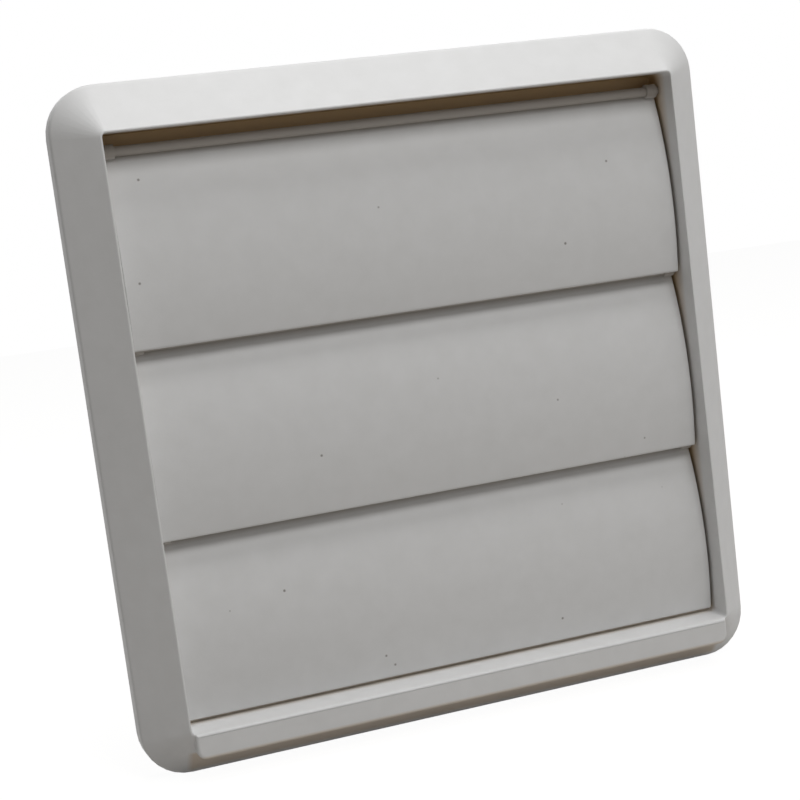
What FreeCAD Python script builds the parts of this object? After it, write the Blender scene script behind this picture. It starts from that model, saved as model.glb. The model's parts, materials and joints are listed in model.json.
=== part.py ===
import FreeCAD, Part
import math
import os

# Gravity louvre shutter for a 100 mm wall duct.
# Origin on the duct axis in the wall plane, X across, Y into the wall, Z up, in millimetres.
# One moulded frame carries three flaps, each on pins along its top edge.

# Frame, seen from the front
face_size = 155.0
corner_radius = 10.7
side_border = 9.9
head_border = 10.9
sill_border = 11.6
opening_corner_radius = 1.0
edge_land = 0.35

# Frame, from the wall outwards
rim_depth = 5.0
head_depth = 13.1
foot_depth = 15.2
wall = 2.0
plate_thickness = 2.0

# Lip bar along the foot of the frame
bar_depth = 15.8
bar_height = 6.0
bar_end_inset = 0.6
bar_corner_radius = 2.0
bar_edge_radius = 0.5
sill_rise = 1.3

# Duct spigot
spigot_radius = 49.5
spigot_wall = 1.8
spigot_length = 38.0
spigot_lead_in = 1.0

# Screw holes in the corners of the back plate
screw_spacing = 114.0
screw_hole_radius = 2.3
screw_head_radius = 4.2
screw_pad_radius = 6.0
screw_pad_height = 1.0

# Stiffening ribs behind the bevel
ribs_per_side = 3
rib_spacing = 42.0
rib_thickness = 1.5
rib_recess = 1.0

# Flaps
flap_count = 3
flap_thickness = 1.2
flap_side_gap = 0.7
flap_lap = 0.8
flap_top_setback = 0.9
flap_foot_stand = 3.4
flap_bulge = 2.55
sill_gap = 0.6
bottom_flap_trim = 0.6

# Hinges
hinge_depth = 5.6
hinge_drop = 3.8
rod_radius = 1.1
ear_radius = 1.9
ear_width = 2.6
pin_radius = 0.9
pin_clearance = 0.08
pin_end_gap = 0.4

# Draught rib that the bottom flap hangs against
draught_rib_height = 2.5
draught_rib_thickness = 1.2
draught_rib_gap = 0.3

# Places worked out from the sizes above
half_face = face_size / 2
opening_half = half_face - side_border
opening_top = half_face - head_border
sill_front_z = sill_border - half_face
compartment_depth = bar_depth - plate_thickness
sill_back_z = sill_front_z + sill_rise
spigot_bore_radius = spigot_radius - spigot_wall
hinge_top_z = opening_top - hinge_drop
flap_half = opening_half - flap_side_gap
pin_end = opening_half + wall - pin_end_gap
overshoot = 1.0


def point(x, y, z):
    return FreeCAD.Vector(x, y, z)


def polygon_prism(corners, half_length):
    """Extrude an outline of (y, z) corners along X, from -half_length to half_length."""
    wire = Part.makePolygon([point(-half_length, y, z) for y, z in corners + corners[:1]])
    return Part.Face(wire).extrude(point(2 * half_length, 0, 0))


def cylinder_x(radius, x_start, x_end, y, z):
    return Part.makeCylinder(radius, x_end - x_start, point(x_start, y, z), point(1, 0, 0))


def cylinder_y(radius, y_start, y_end, x, z):
    return Part.makeCylinder(radius, y_end - y_start, point(x, y_start, z), point(0, 1, 0))


def rounded_outline(half_width, top, bottom, radius, top_depth, bottom_depth):
    """Rectangle with round corners, in a plane that leans from top_depth to bottom_depth."""
    corner = radius * (1 - math.sqrt(0.5))

    def place(x, z):
        share = (top - z) / (top - bottom)
        return point(x, -top_depth - share * (bottom_depth - top_depth), z)

    edges = []
    for side_x, side_z, turn in ((1, 1, 1), (1, -1, -1), (-1, -1, 1), (-1, 1, -1)):
        corner_x = side_x * half_width
        corner_z = top if side_z > 0 else bottom
        on_level = place(corner_x - side_x * radius, corner_z)
        on_upright = place(corner_x, corner_z - side_z * radius)
        middle = place(corner_x - side_x * corner, corner_z - side_z * corner)
        ends = (on_level, on_upright) if turn > 0 else (on_upright, on_level)
        if edges:
            edges.append(Part.makeLine(edges[-1].Vertexes[-1].Point, ends[0]))
        edges.append(Part.Arc(ends[0], middle, ends[1]).toShape())
    edges.append(Part.makeLine(edges[-1].Vertexes[-1].Point, edges[0].Vertexes[0].Point))
    return Part.Wire(edges)


def square_prism(half, radius, y_start, y_end):
    """Rounded square between two depths behind the wall plane, y_start being the front."""
    outline = rounded_outline(half, half, -half, radius, -y_start, -y_start)
    return Part.Face(outline).extrude(point(0, y_end - y_start, 0))


def bevel_depth(depth, border, inset):
    """Depth of the inner side of a bevel's wall, at a distance in from the rim's outer face."""
    slope = (depth - rim_depth) / border
    return rim_depth + slope * inset - wall * math.hypot(1, slope)


def bevel_block():
    """Rim and bevel as one solid block, before it is hollowed."""
    rim = square_prism(half_face, corner_radius, -rim_depth, 0)
    foot = rounded_outline(half_face, half_face, -half_face, corner_radius, rim_depth, rim_depth)
    edge = rounded_outline(
        opening_half + edge_land, opening_top + edge_land, sill_front_z - edge_land,
        opening_corner_radius + edge_land, head_depth, foot_depth)
    return rim.fuse(Part.makeLoft([foot, edge], True, True))


def lip_bar():
    """Bar across the foot: sloping top, upright face, and lower corners rounded."""
    top_z = sill_front_z
    low_z = top_z - bar_height
    half = opening_half - bar_end_inset
    back = rim_depth
    outline = [(-bar_depth, top_z), (-bar_depth, low_z), (-back, low_z), (-back, top_z)]
    bar = polygon_prism(outline, half)
    corners = [e for e in bar.Edges if runs_along_y(e) and e.CenterOfMass.z < (top_z + low_z) / 2]
    bar = bar.makeFillet(bar_corner_radius, corners)
    front = [e for e in bar.Edges if e.BoundBox.YMax < -bar_depth + 0.01 and e.BoundBox.XLength > 1]
    return bar.makeFillet(bar_edge_radius, front)


def runs_along_y(edge):
    box = edge.BoundBox
    return box.YLength > 1 and box.XLength < 0.01 and box.ZLength < 0.01


def hollow_ring():
    """Space behind the bevel, between the rim and the walls of the flap compartment."""
    half = half_face - wall
    radius = corner_radius - wall
    shoulder = bevel_depth(head_depth, head_border, wall)
    slot_head = bevel_depth(head_depth, head_border, head_border - wall)
    slot_foot = bevel_depth(foot_depth, sill_border, sill_border - wall)
    inner_radius = opening_corner_radius + wall
    outer = square_prism(half, radius, -shoulder, overshoot)
    rear = rounded_outline(half, half, -half, radius, shoulder, shoulder)
    front = rounded_outline(
        opening_half + wall, opening_top + wall, sill_front_z - wall, inner_radius, slot_head, slot_foot)
    space = outer.fuse(Part.makeLoft([rear, front], True, True))
    core = rounded_outline(
        opening_half + wall, opening_top + wall, sill_front_z - wall, inner_radius, foot_depth, foot_depth)
    return space.cut(Part.Face(core).extrude(point(0, foot_depth + 2 * overshoot, 0)))


def compartment():
    """Space that the flaps hang in, open at the front, with the sloping sill as its floor."""
    front = -bar_depth - overshoot
    slope = sill_rise / compartment_depth
    outline = [
        (front, sill_front_z - slope * overshoot),
        (-plate_thickness, sill_back_z),
        (-plate_thickness, opening_top),
        (front, opening_top),
    ]
    return polygon_prism(outline, opening_half)


def sill_height(depth):
    """Height of the sill at a depth in front of the wall plane."""
    return sill_front_z + sill_rise * (bar_depth - depth) / compartment_depth


def rib_ring(block):
    """Ribs that tie the rim to the compartment walls, cut to the inside of the bevel."""
    ribs = []
    inner = min(opening_half, opening_top, -sill_front_z)
    length = half_face - inner
    for index in range(ribs_per_side):
        along = (index - (ribs_per_side - 1) / 2) * rib_spacing
        corner = point(inner, -head_depth - rib_recess, along - rib_thickness / 2)
        rib = Part.makeBox(length, head_depth, rib_thickness, corner)
        for quarter in range(4):
            turned = rib.copy()
            turned.rotate(point(0, 0, 0), point(0, 1, 0), 90 * quarter)
            ribs.append(turned)
    return ribs[0].multiFuse(ribs[1:]).common(block)


def spigot():
    """Round spigot behind the back plate, its free end chamfered to enter the duct."""
    tube = cylinder_y(spigot_radius, -plate_thickness / 2, spigot_length, 0, 0)
    end = [e for e in tube.Edges if e.BoundBox.YMin > spigot_length - 0.01]
    return tube.makeChamfer(spigot_lead_in, end)


def screw_places():
    offset = screw_spacing / 2
    return [(x, z) for x in (-offset, offset) for z in (-offset, offset)]


def screw_hole(x, z):
    """Hole through the back plate with a countersink from the front of its pad."""
    front = -plate_thickness - screw_pad_height
    sink = screw_head_radius - screw_hole_radius
    hole = cylinder_y(screw_hole_radius, front - overshoot, overshoot, x, z)
    cone = Part.makeCone(screw_head_radius, screw_hole_radius, sink, point(x, front, z), point(0, 1, 0))
    return hole.fuse(cone)


def flap_centre_of_round(reach):
    """Centre of the round at a flap's low edge, as (forward, down) from the hinge axis."""
    return flap_foot_stand - flap_thickness / 2, reach - flap_thickness / 2


def draught_rib(reach):
    """Low rib on the sill that the bottom flap hangs against."""
    stand, _ = flap_centre_of_round(reach)
    front = hinge_depth + stand - flap_thickness / 2 - draught_rib_gap
    top = sill_height(front) + draught_rib_height
    floor = sill_front_z - wall / 2
    outline = [
        (-front, floor),
        (-front + draught_rib_thickness, floor),
        (-front + draught_rib_thickness, top),
        (-front, top),
    ]
    return polygon_prism(outline, opening_half)


def hinge_heights():
    """Heights of the hinge axes, evenly spaced so that the trimmed bottom flap ends over the sill."""
    foot = sill_height(hinge_depth + flap_foot_stand - flap_thickness / 2) + sill_gap
    pitch = (hinge_top_z - foot + bottom_flap_trim) / flap_count
    return [hinge_top_z - index * pitch for index in range(flap_count)], pitch


def make_frame(heights, pitch):
    block = bevel_block()
    outline = block.fuse(lip_bar())
    solid = outline.cut(hollow_ring()).fuse(rib_ring(outline))
    solid = solid.fuse(spigot())
    solid = solid.cut(compartment())
    pads = [
        cylinder_y(screw_pad_radius, -plate_thickness - screw_pad_height, -plate_thickness / 2, x, z)
        for x, z in screw_places()
    ]
    solid = solid.fuse(pads + [draught_rib(pitch - bottom_flap_trim)])
    bore = cylinder_y(spigot_bore_radius, -bar_depth, spigot_length + overshoot, 0, 0)
    cuts = [bore] + [screw_hole(x, z) for x, z in screw_places()]
    for z in heights:
        for start, end in ((-opening_half - wall, -opening_half), (opening_half, opening_half + wall)):
            hole = cylinder_x(pin_radius + pin_clearance, start - 0.01, end + 0.01, -hinge_depth, z)
            cuts.append(hole)
    solid = solid.cut(cuts)
    return solid.removeSplitter()


def flap_plate(z, reach):
    """Curved plate: two arcs about one centre, square at the rod and round at the low edge."""
    top_forward = -flap_top_setback
    foot_forward, foot_down = flap_centre_of_round(reach)
    foot_forward = foot_forward + flap_thickness / 2
    run = foot_down
    rise = foot_forward - top_forward
    chord = math.hypot(run, rise)
    radius = chord * chord / (8 * flap_bulge) + flap_bulge / 2
    middle_forward = (top_forward + foot_forward) / 2
    back = radius - flap_bulge
    centre_forward = middle_forward - back * run / chord
    centre_down = run / 2 + back * rise / chord
    half_angle = math.asin(chord / 2 / radius)
    tilt = math.atan2(rise, run)

    def on_arc(arc_radius, share):
        angle = tilt + share * half_angle
        forward = centre_forward + arc_radius * math.cos(angle)
        down = centre_down - arc_radius * math.sin(angle)
        return point(-flap_half, -hinge_depth - forward, z - down)

    outer = [on_arc(radius, share) for share in (1, 0, -1)]
    inner = [on_arc(radius - flap_thickness, share) for share in (-1, 0, 1)]
    end_angle = tilt - half_angle
    middle = on_arc(radius - flap_thickness / 2, -1)
    tip = middle + point(0, -math.sin(end_angle), -math.cos(end_angle)) * (flap_thickness / 2)
    edges = [
        Part.Arc(*outer).toShape(),
        Part.Arc(outer[-1], tip, inner[0]).toShape(),
        Part.Arc(*inner).toShape(),
        Part.makeLine(inner[-1], outer[0]),
    ]
    return Part.Face(Part.Wire(edges)).extrude(point(2 * flap_half, 0, 0))


def make_flap(z, reach):
    """Plate with a rod along its top edge, an ear at each end and a pin beyond each ear."""
    plate = flap_plate(z, reach)
    rod = cylinder_x(rod_radius, -flap_half, flap_half, -hinge_depth, z)
    ears = [
        cylinder_x(ear_radius, start, start + ear_width, -hinge_depth, z)
        for start in (-flap_half, flap_half - ear_width)
    ]
    pins = cylinder_x(pin_radius, -pin_end, pin_end, -hinge_depth, z)
    return plate.fuse([rod, pins] + ears).removeSplitter()


def main():
    os.makedirs("parts", exist_ok=True)
    heights, pitch = hinge_heights()
    nodes = {"louvre_frame": make_frame(heights, pitch)}
    for index, z in enumerate(heights):
        last = index == flap_count - 1
        name = "flap_bottom" if last else ("flap_top", "flap_middle")[index]
        nodes[name] = make_flap(z, pitch + (-bottom_flap_trim if last else flap_lap))
    for name, shape in nodes.items():
        solid = shape.Solids[0]
        print(name, "solids", len(shape.Solids), "valid", shape.isValid(), "cm3", round(solid.Volume / 1000, 2))
        solid.exportStep("parts/" + name + ".step")
    print("hinge heights", [round(z, 2) for z in heights], "pitch", round(pitch, 2))


main()
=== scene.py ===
# %% [markdown]
# # Gravity louvre shutter for a 100 mm wall duct
# The real object is four mouldings in white plastic: one frame, with a bevelled face,
# a lip bar across its foot and a round spigot behind, and three thin curved flaps that
# hang on pins inside it. Air from the duct pushes the flaps open, and gravity shuts them.
# The CAD model gives every size and place. Here each moulding is drawn again as a
# surface worked out with numpy, with the small roundings that catch the light.

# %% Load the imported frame
import json
import math

import bmesh
import bpy
import numpy as np
from mathutils import Euler, Matrix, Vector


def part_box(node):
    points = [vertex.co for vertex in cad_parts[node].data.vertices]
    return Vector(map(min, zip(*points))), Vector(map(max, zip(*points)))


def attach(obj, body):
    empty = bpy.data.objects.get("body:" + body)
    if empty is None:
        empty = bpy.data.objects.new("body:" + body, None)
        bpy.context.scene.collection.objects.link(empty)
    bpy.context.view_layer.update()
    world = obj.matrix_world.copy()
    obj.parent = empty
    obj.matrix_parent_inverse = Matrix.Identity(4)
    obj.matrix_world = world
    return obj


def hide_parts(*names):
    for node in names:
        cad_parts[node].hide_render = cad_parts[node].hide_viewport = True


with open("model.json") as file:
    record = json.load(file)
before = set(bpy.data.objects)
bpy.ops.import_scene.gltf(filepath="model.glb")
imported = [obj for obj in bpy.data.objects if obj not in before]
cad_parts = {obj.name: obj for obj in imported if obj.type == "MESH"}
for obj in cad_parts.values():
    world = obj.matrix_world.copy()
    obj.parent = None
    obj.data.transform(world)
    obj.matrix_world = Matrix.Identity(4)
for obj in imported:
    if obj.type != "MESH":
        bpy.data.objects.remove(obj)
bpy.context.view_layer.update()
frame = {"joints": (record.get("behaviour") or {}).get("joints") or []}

MM = 0.001

# %% [markdown]
# ## Sizes
# The outer sizes are read from the CAD nodes, so the surfaces land exactly where the
# CAD is. The inner sizes repeat the part's own driving dimensions, in millimetres, apart
# from the ears of the flaps, which are a little slimmer here.
# X runs across the face, Y into the wall and Z up, from the duct axis in the wall plane.

# %% Sizes of the frame
frame_low, frame_high = (np.array(corner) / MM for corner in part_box("louvre_frame"))
half_face = frame_high[0]
bar_depth = -frame_low[1]
spigot_length = frame_high[1]

corner_radius = 10.7
side_border = 9.9
head_border = 10.9
sill_border = 11.6
sill_rise = 1.3
opening_radius = 1.0
edge_land = 0.35
rim_depth = 5.0
head_depth = 13.1
foot_depth = 15.2
wall = 2.0
plate = 2.0
spigot_radius = 49.5
bore_radius = 47.7
lead_in = 1.0

hinges = {joint["name"]: np.array(joint["pos_m"]) / MM for joint in frame["joints"]}
print("hinges", {name: place.round(2).tolist() for name, place in hinges.items()})

opening_half = half_face - side_border
opening_top = half_face - head_border
sill_front_z = sill_border - half_face


def sill_height(depth):
    """Height of the sill at a depth in front of the wall plane: it falls towards the front."""
    return sill_front_z + sill_rise * (bar_depth - depth) / (bar_depth - plate)


print("face", round(2 * half_face, 2), "opening", round(2 * opening_half, 2), "mm wide")

# %% [markdown]
# ## Tools for surfaces
# A mesh is an array of points and a list of faces that name them by number. Points on
# a grid, in rows and columns, need no face list of their own: each face joins a point to
# its neighbours in the next row and column. Where a grid closes on itself, the last
# column joins the first. The helpers below write a grid's faces, put shells in one mesh,
# make the Blender piece, join or cut pieces, shade them, and turn a profile about an axis.

# %% Grids, pieces and shells
merge_distance = 0.0005


def grid_faces(rows, columns, closed=False):
    """Quads of a grid whose columns close into rings, and whose rows do too when closed."""
    row = np.arange(rows if closed else rows - 1)[:, None]
    column = np.arange(columns)[None, :]
    next_row = (row + 1) % rows
    next_column = (column + 1) % columns
    corners = (row * columns + column, row * columns + next_column,
               next_row * columns + next_column, next_row * columns + column)
    return np.stack(corners, axis=-1).reshape(-1, 4).tolist()


def shell(points, closed=False, capped=False):
    """Points and faces of a grid of rings (rows, columns, 3), with flat ends when capped."""
    rows, columns = points.shape[:2]
    faces = grid_faces(rows, columns, closed)
    if capped:
        last = (rows - 1) * columns
        faces += [list(range(columns)), list(range(last, last + columns))]
    return points.reshape(-1, 3), faces


def together(shells):
    """Several shells as one: each one's faces are renumbered by the points before it."""
    counts = np.cumsum([0] + [len(points) for points, _ in shells])
    faces = [[i + int(start) for i in face] for start, (_, own) in zip(counts, shells) for face in own]
    return np.concatenate([points for points, _ in shells]), faces


def make_piece(name, points, faces):
    """A Blender object from points in millimetres, with poles merged and faces outwards."""
    mesh = bpy.data.meshes.new(name)
    mesh.from_pydata((points * MM).tolist(), [], faces)
    work = bmesh.new()
    work.from_mesh(mesh)
    bmesh.ops.remove_doubles(work, verts=work.verts, dist=merge_distance * MM)
    bmesh.ops.recalc_face_normals(work, faces=work.faces)
    work.to_mesh(mesh)
    work.free()
    piece = bpy.data.objects.new(name, mesh)
    bpy.context.scene.collection.objects.link(piece)
    return piece


def combine(piece, tool, operation):
    """Joins the tool to the piece (UNION) or cuts it away (DIFFERENCE). The tool goes."""
    step = piece.modifiers.new(operation.lower(), "BOOLEAN")
    step.operation = operation
    step.solver = "MANIFOLD"
    step.object = tool
    shaped = piece.evaluated_get(bpy.context.evaluated_depsgraph_get())
    rough = piece.data
    piece.data = bpy.data.meshes.new_from_object(shaped)
    piece.data.name = piece.name
    piece.modifiers.clear()
    bpy.data.meshes.remove(rough)
    bpy.data.objects.remove(tool)


def finish_surface(piece, sharp_degrees=32):
    """Smooth shading that keeps sharp edges and lets the large faces set the normals."""
    piece.data.shade_smooth()
    piece.data.set_sharp_from_angle(angle=math.radians(sharp_degrees))
    weights = piece.modifiers.new("even_shading", "WEIGHTED_NORMAL")
    weights.keep_sharp = True
    print(piece.name, len(piece.data.polygons), "faces")


def lathe(profile, axis, segments=48):
    """Turns a profile of (along, radius) points about X or Y.
    A point at angle a sits at radius * cos(a) and radius * sin(a) on the other two axes."""
    along, radius = np.asarray(profile, float).T[:, :, None]
    angle = np.linspace(0, 2 * math.pi, segments, endpoint=False)[None, :]
    flat = along + 0 * angle
    points = np.stack([flat, radius * np.cos(angle), radius * np.sin(angle)], axis=-1)
    return points if axis == "x" else np.roll(points, 1, axis=-1)


# %% [markdown]
# ## The frame as one closed ring
# Cut the frame anywhere and the section is a thin bent wall: rim, bevel, compartment
# wall, back plate and spigot. All of it goes once round the duct axis, so the whole
# moulding can be one grid: a closed profile carried round a path, where the path is a
# rounded square at the rim and changes to a circle at the bore. The same count of points
# goes round every ring, so a corner of the rim runs into the tight corner of the opening
# as a smooth cone. That is the shape on the real face, and Blender's Bevel modifier
# would make flat mitred corners there instead.

# %% Rings round the duct axis
side_points = 32
arc_steps = 8
ring_points = 4 * (side_points + arc_steps + 1)


def rounded_rectangle(half, top, bottom, radii):
    """Points (x, z) clockwise round a rectangle: each side, then the corner that ends it.
    A corner's points are its centre plus radius * (cos a, sin a), a quarter turn each."""
    radii = np.broadcast_to(np.asarray(radii, float), 4)
    across = np.array([1, 1, -1, -1])
    centre = np.stack([across * (half - radii), [top - radii[0], bottom + radii[1],
                                                 bottom + radii[2], top - radii[3]]], axis=-1)
    turn = np.linspace(0, 1, arc_steps + 1)
    angle = np.radians(90 - 90 * (np.arange(4)[:, None] + turn[None, :]))
    arc = centre[:, None] + radii[:, None, None] * np.stack([np.cos(angle), np.sin(angle)], axis=-1)
    swing = np.radians(np.linspace(-45, 45, side_points + 2)[1:-1])
    share = 0.5 + 0.5 * np.tan(swing)[None, :, None]
    side = (1 - share) * np.roll(arc, 1, axis=0)[:, -1:] + share * arc[:, :1]
    return np.concatenate([side, arc], axis=1).reshape(-1, 2)


def square_ring(inset, radius, depth):
    """Ring of the frame from its insets and depths. The inset from the face's edge is
    given for side, head and foot, and the depth in front of the wall for head and foot."""
    side, head, foot = inset
    top, bottom = half_face - head, foot - half_face
    flat = rounded_rectangle(half_face - side, top, bottom, radius)
    share = (top - flat[:, 1]) / (top - bottom)
    return np.stack([flat[:, 0], -(depth[0] + share * (depth[1] - depth[0])), flat[:, 1]], axis=-1)


def round_ring(radius, depth):
    """Circle about the duct axis, its points evenly spaced and in step with a square ring's."""
    number = np.arange(ring_points) - (side_points - 1) / 2
    angle = math.pi / 2 - number * 2 * math.pi / ring_points
    return np.stack([radius * np.cos(angle), np.full(ring_points, -float(depth)),
                     radius * np.sin(angle)], axis=-1)


def softened(corners, widths, steps=4):
    """Rounds the edges of a closed profile whose corners are whole rings of points.
    The edge at B gives way to the curve (1-t)^2 A + 2t(1-t) B + t^2 C, where A and C lie
    the width away from B, towards the rings before and after it."""
    width = np.asarray(widths)[:, None, None]

    def towards(other):
        step = other - corners
        return corners + width * step / np.linalg.norm(step, axis=-1, keepdims=True)

    start, end = towards(np.roll(corners, 1, axis=0)), towards(np.roll(corners, -1, axis=0))
    t = np.linspace(0, 1, steps + 1)[:, None, None, None]
    curve = (1 - t) ** 2 * start + 2 * t * (1 - t) * corners + t ** 2 * end
    return curve.transpose(1, 0, 2, 3).reshape(-1, corners.shape[1], 3)


def behind_bevel(depth, border, inset):
    """Depth of the bevel's inner side: the outer slope less the wall, measured square to it."""
    slope = (depth - rim_depth) / border
    return rim_depth + slope * inset - wall * math.hypot(1, slope)


# %% Profile of the frame moulding
rim_inset = (0.0, 0.0, 0.0)
edge_inset = (side_border - edge_land, head_border - edge_land, sill_border - edge_land)
front_inset = (side_border, head_border, sill_height(foot_depth) + half_face)
back_inset = (side_border, head_border, sill_border + sill_rise)
outer_wall_inset = (side_border - wall, head_border - wall, sill_border - wall)
inner_rim_inset = (wall, wall, wall)
shoulder = behind_bevel(head_depth, head_border, wall)
slot_depth = (behind_bevel(head_depth, head_border, head_border - wall),
              behind_bevel(foot_depth, sill_border, sill_border - wall))
rim_round = 0.7
edge_round = 0.16
slight = 0.3

profile = [
    (square_ring(rim_inset, corner_radius, (0, 0)), slight),
    (square_ring(rim_inset, corner_radius, (rim_depth, rim_depth)), rim_round),
    (square_ring(edge_inset, opening_radius + edge_land, (head_depth, foot_depth)), edge_round),
    (square_ring(front_inset, opening_radius, (head_depth, foot_depth)), edge_round),
    (square_ring(back_inset, opening_radius, (plate, plate)), slight),
    (round_ring(bore_radius, plate), slight),
    (round_ring(bore_radius, -spigot_length), slight),
    (round_ring(spigot_radius - lead_in, -spigot_length), slight / 2),
    (round_ring(spigot_radius, -spigot_length + lead_in), slight / 2),
    (round_ring(spigot_radius, 0), slight),
    (square_ring(outer_wall_inset, opening_radius + wall, (0, 0)), slight),
    (square_ring(outer_wall_inset, opening_radius + wall, slot_depth), slight),
    (square_ring(inner_rim_inset, corner_radius - wall, (shoulder, shoulder)), slight),
    (square_ring(inner_rim_inset, corner_radius - wall, (0, 0)), slight),
]
rings = softened(np.stack([ring for ring, _ in profile]), [width for _, width in profile])
moulding = make_piece("frame_moulding", *shell(rings, closed=True))
print("frame rings", rings.shape[0], "of", rings.shape[1], "points")

# %% [markdown]
# ## Lip bar, ribs and screw pads
# The lip bar is part of the same moulding: its top carries the sill's slope forwards, and
# its lower corners are round. Behind the bevel, ribs tie the rim to the compartment. A low
# rib across the sill stops the draught under the bottom flap, and on the back plate four
# raised pads take the screws. Each is a small shell that dips into the wall it grows from,
# and a Boolean union welds it there, as it is on the real moulding. Separate pieces would
# show hairlines where they meet.

# %% Lip bar
bar_height = 6.0
bar_setback = 0.6
bar_top_radius = 0.3
bar_foot_radius = 2.0
bar_edge = 0.7
bar_edge_steps = 5
bar_slope_run = 1.0
weld = 0.02

bar_half = opening_half - bar_setback
bar_radii = np.array([bar_top_radius, bar_foot_radius, bar_foot_radius, bar_top_radius])


def bar_ring(depth, inset):
    """Outline of the bar at a depth, drawn in by the inset. Its top follows the sill."""
    flat = rounded_rectangle(bar_half - inset, sill_height(depth) + weld - inset,
                             sill_front_z - bar_height + inset, bar_radii - inset / 2)
    return np.stack([flat[:, 0], np.full(len(flat), -float(depth)), flat[:, 1]], axis=-1)


# The bar's root is its outline laid on the middle of the bevel's wall, which hides the weld.
turn = np.radians(np.linspace(0, 90, bar_edge_steps + 1))
bar = np.stack([bar_ring(bar_depth - bar_edge * (1 - math.sin(a)), bar_edge * (1 - math.cos(a)))
                for a in turn])
root = bar_ring(bar_depth - bar_slope_run, 0)
foot_slope = (foot_depth - rim_depth) / sill_border
root[:, 1] = -(rim_depth + foot_slope * (half_face + root[:, 2]) - wall / 2 * math.hypot(1, foot_slope))
bar = np.concatenate([root[None], bar])
combine(moulding, make_piece("bar_tool", *shell(bar, capped=True)), "UNION")

# %% Ribs behind the bevel
rib_thickness = 1.5
rib_recess = 1.0
rib_spacing = 42.0


def block(outline, offset):
    """A closed outline of points in space and its copy, moved by the offset, as a solid."""
    outline = np.asarray(outline, float)
    return shell(np.stack([outline, outline + np.asarray(offset, float)]), capped=True)


def rib(side_turn, along):
    """One rib: its section lies square to the side, from compartment wall to rim."""
    borders = {0: (head_depth, head_border), 1: (head_depth, side_border),
               2: (foot_depth, sill_border), 3: (head_depth, side_border)}
    depth, border = borders[side_turn]
    slope = (depth - rim_depth) / border
    inner, outer = border - wall / 2, wall / 2
    half_wall = wall / 2 * math.hypot(1, slope)
    section = [(inner, rib_recess), (outer, rib_recess),
               (outer, rim_depth + slope * outer - half_wall),
               (inner, rim_depth + slope * inner - half_wall)]
    points = [(along - rib_thickness / 2, -depth_out, half_face - inset) for inset, depth_out in section]
    angle = side_turn * math.pi / 2
    spin = np.array([[math.cos(angle), 0, math.sin(angle)], [0, 1, 0],
                     [-math.sin(angle), 0, math.cos(angle)]])
    return block(np.array(points) @ spin.T, spin @ np.array([rib_thickness, 0, 0]))


ribs = [rib(side, along) for side in range(4) for along in (-rib_spacing, 0, rib_spacing)]
combine(moulding, make_piece("rib_tool", *together(ribs)), "UNION")

# %% Draught rib on the sill, just behind the bottom flap
flap_thickness = 1.2
foot_stand = 3.4
draught_gap = 0.3
draught_thickness = 1.2
draught_height = 2.5

draught_half = opening_half + weld
draught_front = hinges["flap_bottom_hinge"][1] - foot_stand + flap_thickness + draught_gap
draught_back = draught_front + draught_thickness
draught_top = sill_height(-draught_front) + draught_height
draught_foot = sill_front_z - wall / 2
draught_section = [(draught_front, draught_top), (draught_back, draught_top),
                   (draught_back, draught_foot), (draught_front, draught_foot)]
draught_rib = block([(-draught_half, y, z) for y, z in draught_section], (2 * draught_half, 0, 0))
combine(moulding, make_piece("draught_tool", *draught_rib), "UNION")

# %% Screw pads
screw_offset = 57.0
pad_radius = 6.0
pad_height = 1.0
pad_round = 0.25
screw_places = [(x, z) for x in (-screw_offset, screw_offset) for z in (-screw_offset, screw_offset)]
pad_profile = [(-plate / 2, 0), (-plate / 2, pad_radius), (-plate - pad_height + pad_round, pad_radius),
               (-plate - pad_height, pad_radius - pad_round), (-plate - pad_height, 0)]
pads = [shell(lathe(pad_profile, "y") + np.array([x, 0, z])) for x, z in screw_places]
combine(moulding, make_piece("pad_tool", *together(pads)), "UNION")

# %% [markdown]
# ## Holes
# The countersunk screw holes and the six pin holes are cut last, through everything that
# they meet. Each cutter is a profile turned about its own axis, and reaches a little past
# both faces, because a cutter that ends exactly on a face leaves a film there.

# %% Screw holes and pin holes
screw_hole_radius = 2.3
screw_head_radius = 4.2
screw_overshoot = 1.0
pad_front = -plate - pad_height
sink = screw_head_radius - screw_hole_radius
hole_profile = [(pad_front - screw_overshoot, 0), (pad_front - screw_overshoot, screw_head_radius),
                (pad_front, screw_head_radius), (pad_front + sink, screw_hole_radius),
                (screw_overshoot, screw_hole_radius), (screw_overshoot, 0)]
cutters = [shell(lathe(hole_profile, "y") + np.array([x, 0, z])) for x, z in screw_places]

pin_radius = 0.9
pin_clearance = 0.08
pin_overshoot = 0.3
pin_hole_radius = pin_radius + pin_clearance
pin_hole_start = opening_half - pin_overshoot
pin_hole_end = opening_half + wall + pin_overshoot
pin_hole_profile = [(pin_hole_start, 0), (pin_hole_start, pin_hole_radius),
                    (pin_hole_end, pin_hole_radius), (pin_hole_end, 0)]
for place in hinges.values():
    for side in (-1, 1):
        points = lathe(pin_hole_profile, "x", segments=24) * np.array([side, 1, 1])
        cutters.append(shell(points + np.array([0, place[1], place[2]])))
combine(moulding, make_piece("hole_tool", *together(cutters)), "DIFFERENCE")
finish_surface(moulding)

# %% [markdown]
# ## Flaps
# A flap is a thin plate, bowed towards the front like a shallow gutter, with a round low
# edge. Along its top runs a rod that ends in two ears, and a pin stands out of each ear.
# The bow is an arc between two points, so the whole section is worked out from the
# chord and the bulge, and carried along X. The rod, ears and pins are one profile turned
# about the hinge axis, welded on with a union. The CAD's ears have a radius of 1.9 mm. They
# would show below the flap above them, where the photograph shows nothing.

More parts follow.
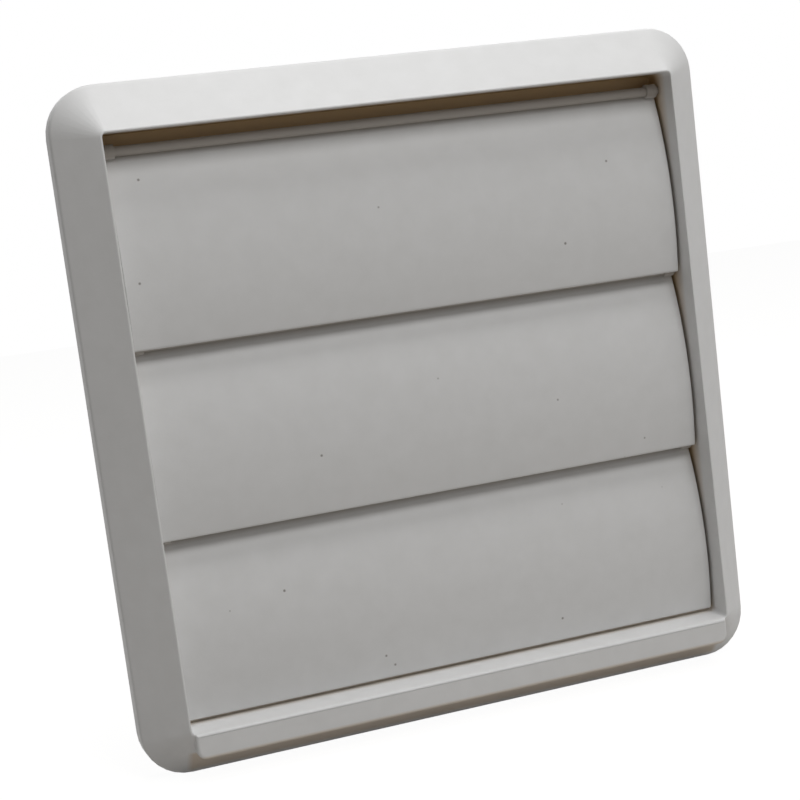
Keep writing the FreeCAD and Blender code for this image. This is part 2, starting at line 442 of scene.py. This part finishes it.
# %% The flap's section
top_setback = 0.9
bulge = 2.55
flap_gap = 0.7
flap_half = opening_half - flap_gap
rod_radius = 1.1
ear_radius = 1.6
ear_width = 2.6
pin_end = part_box("flap_top")[1][0] / MM
low_edge_steps = 8
end_steps = 4


def flap_section(reach, steps=36):
    """Closed section as (forward, down) from the hinge axis: two arcs about one centre.
    An arc over a chord c with rise b has the radius c^2 / 8b + b / 2. Its centre lies
    radius - b behind the middle of the chord, and the low edge is a half circle."""
    down = reach - flap_thickness / 2
    rise = foot_stand + top_setback
    chord = math.hypot(down, rise)
    radius = chord * chord / (8 * bulge) + bulge / 2
    back = radius - bulge
    centre = np.array([(foot_stand - top_setback) / 2 - back * down / chord,
                       down / 2 + back * rise / chord])
    half_angle = math.asin(chord / 2 / radius)
    tilt = math.atan2(rise, down)

    def arc(arc_radius, shares):
        angle = tilt + shares * half_angle
        return centre + arc_radius * np.stack([np.cos(angle), -np.sin(angle)], axis=-1)

    shares = np.linspace(1, -1, steps)
    outer, inner = arc(radius, shares), arc(radius - flap_thickness, shares[::-1])
    middle = (outer[-1] + inner[0]) / 2
    first = outer[-1] - middle
    side = np.array([-first[1], first[0]])
    around = np.radians(np.linspace(0, 180, low_edge_steps + 1)[1:-1])[:, None]
    low_edge = middle + np.cos(around) * first + np.sin(around) * side
    return np.concatenate([outer, low_edge, inner])


def carried_along_x(section, half_length, edge):
    """Carries a closed (y, z) section along X. Over the last stretch at each end the section
    draws in by edge * (1 - cos a) while X runs on by edge * sin a, which rounds the ends."""
    tangent = np.roll(section, -1, axis=0) - np.roll(section, 1, axis=0)
    area = np.sum(section[:, 0] * np.roll(section[:, 1], -1) - section[:, 1] * np.roll(section[:, 0], -1))
    inward = np.sign(area) * np.stack([-tangent[:, 1], tangent[:, 0]], axis=-1)
    inward /= np.linalg.norm(inward, axis=-1, keepdims=True)
    angle = np.radians(np.linspace(0, 90, end_steps + 1))
    x = half_length - edge * (1 - np.sin(angle))
    draw = edge * (1 - np.cos(angle))
    x = np.concatenate([-x[::-1], x])
    draw = np.concatenate([draw[::-1], draw])
    flat = section[None] + draw[:, None, None] * inward[None]
    return np.concatenate([np.broadcast_to(x[:, None, None], flat.shape[:2] + (1,)), flat], axis=-1)


# %% Plate, rod, ears and pins
end_round = 0.25
pin_round = 0.15
ear_step = 0.1
ear_end = flap_half + ear_step
half_spindle = [(pin_end, 0), (pin_end, pin_radius - pin_round), (pin_end - pin_round, pin_radius),
                (ear_end, pin_radius), (ear_end, ear_radius - pin_round),
                (ear_end - pin_round, ear_radius), (flap_half - ear_width, ear_radius),
                (flap_half - ear_width, rod_radius)]
spindle_profile = half_spindle + [(-x, radius) for x, radius in reversed(half_spindle)]

flaps = []
for name in ("flap_top", "flap_middle", "flap_bottom"):
    hinge = hinges[name + "_hinge"]
    reach = hinge[2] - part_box(name)[0][2] / MM
    section = np.array([hinge[1], hinge[2]]) - flap_section(reach)
    plate_points = carried_along_x(section, flap_half, end_round)
    flap = make_piece(name + "_moulding", *shell(plate_points, capped=True))
    spindle = lathe(spindle_profile, "x", segments=32) + np.array([0, hinge[1], hinge[2]])
    combine(flap, make_piece("spindle_tool", *shell(spindle)), "UNION")
    finish_surface(flap)
    flaps.append(flap)
    print(name, "reach", round(float(reach), 2), "mm below its hinge")

# %% [markdown]
# ## Bodies and nodes
# Each drawn moulding stands for its CAD node and moves with that node's body, so the
# flaps swing where MuJoCo swings them.

# %% Ride on the bodies
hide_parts("louvre_frame")
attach(moulding, "frame")
for flap in flaps:
    body = flap.name.replace("_moulding", "")
    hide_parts(body)
    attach(flap, body)

# %% [markdown]
# ## Material
# The mouldings are white high-impact polystyrene, injected into a finely spark-eroded
# steel mould. That gives the eye a satin skin: a soft sheen, no sharp reflection, a very
# fine even grain, and a slow ripple where the wall cooled unevenly. A Principled shader
# gives the sheen, and noise patterns on Object coordinates give grain, mottle and ripple.
# Painted warm-brown shade darkens the frame deep in its compartment and, at about half
# strength, on the bevel under its lip bar. Painted grey shade darkens the rods and ears
# of the flaps, and a few grains of real dirt sit in the skin of the flaps.


# %% Colours and nodes
def colour(hex_value):
    """Linear colour from an sRGB hex value: c / 12.92 below 0.04045, else ((c + 0.055) / 1.055) ** 2.4."""
    channels = np.array([int(hex_value[i:i + 2], 16) / 255 for i in (1, 3, 5)])
    linear = np.where(channels <= 0.04045, channels / 12.92, ((channels + 0.055) / 1.055) ** 2.4)
    return (*linear.tolist(), 1.0)


def empty_tree(owner):
    """The node tree of a material or world, cleared for new nodes."""
    owner.use_nodes = True
    owner.node_tree.nodes.clear()
    return owner.node_tree


def add(tree, kind, values, links=None):
    """Adds a node, sets its properties and sockets from values, and links its sockets."""
    node = tree.nodes.new(kind)
    for name, value in values.items():
        if hasattr(node, name):
            setattr(node, name, value)
        else:
            node.inputs[name].default_value = value
    for name, source in (links or {}).items():
        tree.links.new(source, node.inputs[name])
    return node


def compute(tree, operation, *terms, clamp=False):
    """Result of a maths node on its terms, each a socket or a number, kept in 0 to 1 if asked."""
    node = add(tree, "ShaderNodeMath", {"operation": operation, "use_clamp": clamp})
    for socket, term in zip(node.inputs, terms):
        if isinstance(term, bpy.types.NodeSocket):
            tree.links.new(term, socket)
        else:
            socket.default_value = term
    return node.outputs[0]


def times(tree, first, *others):
    """Product of several sockets."""
    for other in others:
        first = compute(tree, "MULTIPLY", first, other)
    return first


def per_mm(size):
    """Scale of a noise pattern whose features are this many millimetres across."""
    return 1 / (size * MM)


def inside(tree, value, low, high, soft):
    """1 where a value in metres lies between two limits in mm, with soft steps outside them.
    The width of the steps in mm is one number, or one for below and one for above."""
    below, above = np.broadcast_to(soft, 2).tolist()
    rise = add(tree, "ShaderNodeMapRange", {"From Min": (low - below) * MM, "From Max": low * MM},
               {"Value": value})
    fall = add(tree, "ShaderNodeMapRange", {"From Min": high * MM, "From Max": (high + above) * MM,
                                            "To Min": 1.0, "To Max": 0.0}, {"Value": value})
    return times(tree, rise.outputs["Result"], fall.outputs["Result"])


# %% Painted shade and dirt specks
# Painted shade: a warm brown that stands for the shade deep in the frame's compartment and for the lip bar's
# shadow on the bevel below it.
frame_shade_colour = "#bd9f72"
corner_margin = 0.3
corner_edge = 0.2
corner_depth = 4.5
corner_mouth_fade = 5.5
plate_skin = 1.2
plate_skin_fade = 0.3
corner_reach = 8.0
corner_fade = 5.0
under_bar_shade_height = 4.2
under_bar_shade_top = 0.1
under_bar_shade_fade = 0.9
under_bar_shade_end_fade = 1.5
under_bar_shade_share = 0.55
bevel_front = 20.0
bevel_skin = 0.5
bevel_skin_fade = 0.3

# Painted shade: a grey that stands for the shadow on the rods and ears of the flaps.
rod_shade_colour = "#a7a19a"
rod_shade_below_hinge = 1.0
rod_shade_above_hinge = 3.0
rod_shade_fade = 1.4
rod_shade_margin = 0.05
rod_shade_edge = 0.1

dirt_colour = "#5f574e"
speck_spacing = 9.0
speck_core = 0.02
speck_edge = 0.045
speck_share = 0.75


def frame_shade_share(tree, place):
    """Share of painted warm-brown shade on the frame: in the corner at the back of the
    compartment, fading towards its mouth and towards the middle of the back plate, and about
    half as strong on the bevel under the lip bar, where it stands for the bar's shadow. There
    y + slope * z is one number all over the outer face of the bevel, and a larger one behind it."""
    axes = add(tree, "ShaderNodeSeparateXYZ", {}, {"Vector": place})
    x, y, z = (axes.outputs[name] for name in "XYZ")
    within_half = opening_half + corner_margin
    within = times(tree, inside(tree, x, -within_half, within_half, corner_edge),
                   inside(tree, z, sill_front_z, opening_top + corner_margin, corner_edge))
    deep = inside(tree, y, -corner_depth, -plate_skin, (corner_mouth_fade, plate_skin_fade))
    plate_middle_half = opening_half - corner_reach
    plate_middle = times(tree, inside(tree, x, -plate_middle_half, plate_middle_half, corner_fade),
                  inside(tree, z, sill_front_z + corner_reach, opening_top - corner_reach, corner_fade))
    corner = times(tree, within, deep, compute(tree, "SUBTRACT", 1.0, plate_middle))
    bar_foot = sill_front_z - bar_height
    bevel = compute(tree, "MULTIPLY_ADD", z, foot_slope, y)
    bevel_face = -rim_depth - foot_slope * half_face
    # Painted shade standing for the lip bar's shadow on the bevel below it.
    shade_under_bar = times(tree, inside(tree, x, -bar_half, bar_half, under_bar_shade_end_fade),
                 inside(tree, bevel, bevel_face - bevel_front, bevel_face + bevel_skin, bevel_skin_fade),
                 inside(tree, z, bar_foot - under_bar_shade_height, bar_foot + under_bar_shade_top, under_bar_shade_fade))
    return compute(tree, "MULTIPLY_ADD", shade_under_bar, under_bar_shade_share, corner, clamp=True)


def rod_shade_share(tree, place):
    """Share of painted grey shade on a flap: on its rod and ears, where it stands for their
    shadow. The low edge of the flap above hangs at the same height, in front of them, and gets none."""
    axes = add(tree, "ShaderNodeSeparateXYZ", {}, {"Vector": place})
    y, z = axes.outputs["Y"], axes.outputs["Z"]
    rod_front = hinges["flap_top_hinge"][1] - ear_radius - rod_shade_margin
    shaded_rods = 0.0
    for hinge in hinges.values():
        top = inside(tree, z, hinge[2] - rod_shade_below_hinge, hinge[2] + rod_shade_above_hinge, rod_shade_fade)
        shaded_rods = compute(tree, "ADD", top, shaded_rods, clamp=True)
    return times(tree, inside(tree, y, rod_front, 0, rod_shade_edge), shaded_rods)


def dirt_share(tree, place):
    """Rare specks 0.3 to 0.6 mm across: the points of a Voronoi pattern that lie in the skin."""
    points = add(tree, "ShaderNodeTexVoronoi", {"Scale": per_mm(speck_spacing)}, {"Vector": place})
    dots = add(tree, "ShaderNodeMapRange", {"From Min": speck_core, "From Max": speck_edge,
                                            "To Min": speck_share, "To Max": 0.0},
               {"Value": points.outputs["Distance"]})
    return dots.outputs["Result"]


def overlaid(tree, under, share, overlay_colour):
    """The colour underneath, going over to a painted shade's or a stain's own sRGB colour by its share."""
    mix = add(tree, "ShaderNodeMix", {"data_type": "RGBA"}, {"Factor": share, "A": under})
    mix.inputs["B"].default_value = colour(overlay_colour)
    return mix.outputs["Result"]


# %% Satin plastic
plastic_ior = 1.55
roughness = 0.5
roughness_swing = 0.05
mottle_size = 5.0
grain_size = 0.6
grain_depth = 0.03
grain_strength = 0.4
ripple_size = 14.0
ripple_depth = 0.06
ripple_strength = 0.25


def moulded_plastic(name, light, dark, shades_and_stains):
    """Satin injection-moulded polystyrene between two close tones. Each painted shade or real
    stain is a function that gives its share of the surface, and its colour."""
    material = bpy.data.materials.new(name)
    tree = empty_tree(material)
    place = add(tree, "ShaderNodeTexCoord", {}).outputs["Object"]
    mottle = add(tree, "ShaderNodeTexNoise", {"Scale": per_mm(mottle_size), "Detail": 6.0}, {"Vector": place})
    tone = add(tree, "ShaderNodeMix", {"data_type": "RGBA"}, {"Factor": mottle.outputs["Fac"]})
    tone.inputs["A"].default_value = colour(dark)
    tone.inputs["B"].default_value = colour(light)
    skin_colour = tone.outputs["Result"]
    for share, overlay_colour in shades_and_stains:
        skin_colour = overlaid(tree, skin_colour, share(tree, place), overlay_colour)
    grain = add(tree, "ShaderNodeTexNoise", {"Scale": per_mm(grain_size), "Detail": 2.0}, {"Vector": place})
    ripple = add(tree, "ShaderNodeTexNoise", {"Scale": per_mm(ripple_size), "Detail": 1.0}, {"Vector": place})
    waves = add(tree, "ShaderNodeBump", {"Strength": ripple_strength, "Distance": ripple_depth * MM},
                {"Height": ripple.outputs["Fac"]})
    skin = add(tree, "ShaderNodeBump", {"Strength": grain_strength, "Distance": grain_depth * MM},
               {"Height": grain.outputs["Fac"], "Normal": waves.outputs["Normal"]})
    gloss = add(tree, "ShaderNodeMapRange", {"To Min": roughness - roughness_swing,
                                             "To Max": roughness + roughness_swing},
                {"Value": grain.outputs["Fac"]})
    shader = add(tree, "ShaderNodeBsdfPrincipled", {"IOR": plastic_ior},
                 {"Base Color": skin_colour, "Roughness": gloss.outputs["Result"],
                  "Normal": skin.outputs["Normal"]})
    add(tree, "ShaderNodeOutputMaterial", {}, {"Surface": shader.outputs["BSDF"]})
    return material


# The frame's brown is painted shade, in its compartment and under its lip bar.
frame_plastic = moulded_plastic("polystyrene_frame_satin", "#e6e6e6", "#dcdcdb",
                                [(frame_shade_share, frame_shade_colour)])
# The flaps carry painted grey shade on their rods and ears, and real dirt specks.
flap_plastic = moulded_plastic("polystyrene_flap_satin", "#e0e0e0", "#d6d6d5",
                               [(rod_shade_share, rod_shade_colour), (dirt_share, dirt_colour)])
moulding.data.materials.clear()
moulding.data.materials.append(frame_plastic)
for flap in flaps:
    flap.data.materials.clear()
    flap.data.materials.append(flap_plastic)

# %% [markdown]
# ## Studio
# A pale floor, a white surround and two soft lamps, as the photograph shows: one high
# in front and a little to the right, which draws the short shadow under the head, and a
# broader one nearly overhead, which makes the head's bevel the brightest face and the left
# side the darkest. Floor and surround are white only for the camera, through Light Path.
# To the object the surround is a dim room, and the floor is matt paper.

# %% Surround and floor
ambient = 0.095
floor_half = 1500.0
floor_colour = "#bab6b1"
floor_glow = 1.2
floor_white = 0.8
white_paint = (1, 1, 1, 1)

scene = bpy.context.scene


def white_for_the_camera(tree):
    """1 for rays that come straight from the camera, off a gloss or through something clear."""
    path = add(tree, "ShaderNodeLightPath", {})
    seen = compute(tree, "MAXIMUM", path.outputs["Is Camera Ray"], path.outputs["Is Transmission Ray"])
    return compute(tree, "MAXIMUM", seen, path.outputs["Is Glossy Ray"])


def either_shader(tree, share, first, second):
    """The first shader where the share is 0, the second where it is 1."""
    mixed = add(tree, "ShaderNodeMixShader", {}, {"Fac": share})
    tree.links.new(first.outputs[0], mixed.inputs[1])
    tree.links.new(second.outputs[0], mixed.inputs[2])
    return mixed.outputs[0]


world = bpy.data.worlds.new("studio")
scene.world = world
tree = empty_tree(world)
room = add(tree, "ShaderNodeBackground", {"Color": white_paint, "Strength": ambient})
white = add(tree, "ShaderNodeBackground", {"Color": white_paint, "Strength": 1.0})
surround = either_shader(tree, white_for_the_camera(tree), room, white)
add(tree, "ShaderNodeOutputWorld", {}, {"Surface": surround})

corners = np.array([[-1, -1], [1, -1], [1, 1], [-1, 1]]) * floor_half
floor_mesh = bpy.data.meshes.new("floor")
floor_points = np.column_stack([corners, np.full(4, -half_face)]) * MM
floor_mesh.from_pydata(floor_points.tolist(), [], [[0, 1, 2, 3]])
floor = bpy.data.objects.new("floor", floor_mesh)
scene.collection.objects.link(floor)

paper = bpy.data.materials.new("white_paper_floor")
tree = empty_tree(paper)
matt = add(tree, "ShaderNodeBsdfDiffuse", {"Color": colour(floor_colour)})
glow = add(tree, "ShaderNodeEmission", {"Color": white_paint, "Strength": floor_glow})
share = compute(tree, "MULTIPLY", white_for_the_camera(tree), floor_white)
add(tree, "ShaderNodeOutputMaterial", {}, {"Surface": either_shader(tree, share, matt, glow)})
floor_mesh.materials.append(paper)


# %% Lamps
def softbox(name, direction, distance, size, power):
    """A square area lamp that faces the object from a direction, at a distance in metres."""
    lamp = bpy.data.lights.new(name, "AREA")
    lamp.shape = "SQUARE"
    lamp.size = size
    lamp.energy = power
    holder = bpy.data.objects.new(name, lamp)
    towards = np.array(direction) / np.linalg.norm(direction)
    right = np.cross([0, 1, 0.001], towards)
    right /= np.linalg.norm(right)
    up = np.cross(towards, right)
    turned = Matrix(np.column_stack([right, up, towards]).tolist()).to_4x4()
    holder.matrix_world = Matrix.Translation((towards * distance).tolist()) @ turned
    scene.collection.objects.link(holder)


softbox("key", direction=(0.18, -0.68, 0.71), distance=1.2, size=0.38, power=4.6)
softbox("overhead", direction=(0.16, -0.06, 0.98), distance=1.2, size=0.7, power=7.9)

# %% [markdown]
# ## Camera
# The camera stands where the photograph's did, found from the outline of the rim and the
# lines of the opening: low, in front, to the left, and rolled a little. A lens of 79 mm
# with a slight shift gives the same frame.

# %% Camera
camera_place = (-135.39, -386.58, 47.88)
camera_azimuth = 18.328
camera_elevation = -9.094
camera_roll = -7.146
focal_length = 78.535
shift = (0.0035, 0.0852)

lens = bpy.data.cameras.new("camera")
lens.sensor_width = 36.0
lens.lens = focal_length
lens.shift_x, lens.shift_y = shift
camera = bpy.data.objects.new("camera", lens)
aim = Euler((math.radians(90 + camera_elevation), 0, math.radians(-camera_azimuth)), "XYZ").to_matrix()
roll = Matrix.Rotation(math.radians(camera_roll), 3, "Z")
camera.matrix_world = Matrix.Translation([v * MM for v in camera_place]) @ (aim @ roll).to_4x4()
scene.collection.objects.link(camera)
scene.camera = camera
scene.view_settings.view_transform = "Standard"

# %% Update the view layer
bpy.context.view_layer.update()
